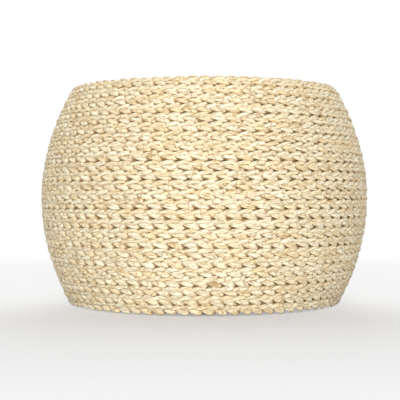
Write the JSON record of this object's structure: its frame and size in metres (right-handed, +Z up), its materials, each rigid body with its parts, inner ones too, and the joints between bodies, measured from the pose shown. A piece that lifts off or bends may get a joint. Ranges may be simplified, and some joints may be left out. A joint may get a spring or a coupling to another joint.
{
  "type": "outdoor ottoman footstool",
  "caption": "Round barrel-shaped outdoor ottoman footstool: rows of straw-coloured plait wound over a welded rod frame, with a plaited flat seat and low glides.",
  "frame": {"origin": "on the floor under the middle of the barrel", "axes": "+Z up; the front in the picture faces -Y; the rows change level at the back, +Y"},
  "size_m": [0.6, 0.6, 0.394],
  "materials": {
    "plait": "matte",
    "deck_board": "matte",
    "frame_coat": "satin",
    "glide_plastic": "matte",
    "screw_steel": "satin"
  },
  "bodies": {
    "root": {"side_plait": "plait", "seat_plait": "plait", "seat_deck": "deck_board", "foot_ring": "frame_coat", "belly_ring": "frame_coat", "top_ring": "frame_coat", "deck_bar_long": "frame_coat", "deck_bar_front": "frame_coat", "deck_bar_back": "frame_coat", "rib_1": "frame_coat", "rib_2": "frame_coat", "rib_3": "frame_coat", "rib_4": "frame_coat", "rib_5": "frame_coat", "rib_6": "frame_coat", "rib_7": "frame_coat", "rib_8": "frame_coat", "foot_tab_1": "frame_coat", "foot_tab_2": "frame_coat", "foot_tab_3": "frame_coat", "foot_tab_4": "frame_coat", "foot_tab_5": "frame_coat", "foot_tab_6": "frame_coat", "glide_1": "glide_plastic", "glide_2": "glide_plastic", "glide_3": "glide_plastic", "glide_4": "glide_plastic", "glide_5": "glide_plastic", "glide_6": "glide_plastic", "deck_screw_1": "screw_steel", "deck_screw_2": "screw_steel", "deck_screw_3": "screw_steel", "deck_screw_4": "screw_steel", "deck_screw_5": "screw_steel", "deck_screw_6": "screw_steel", "deck_screw_7": "screw_steel", "deck_screw_8": "screw_steel"}
  },
  "joints": []
}
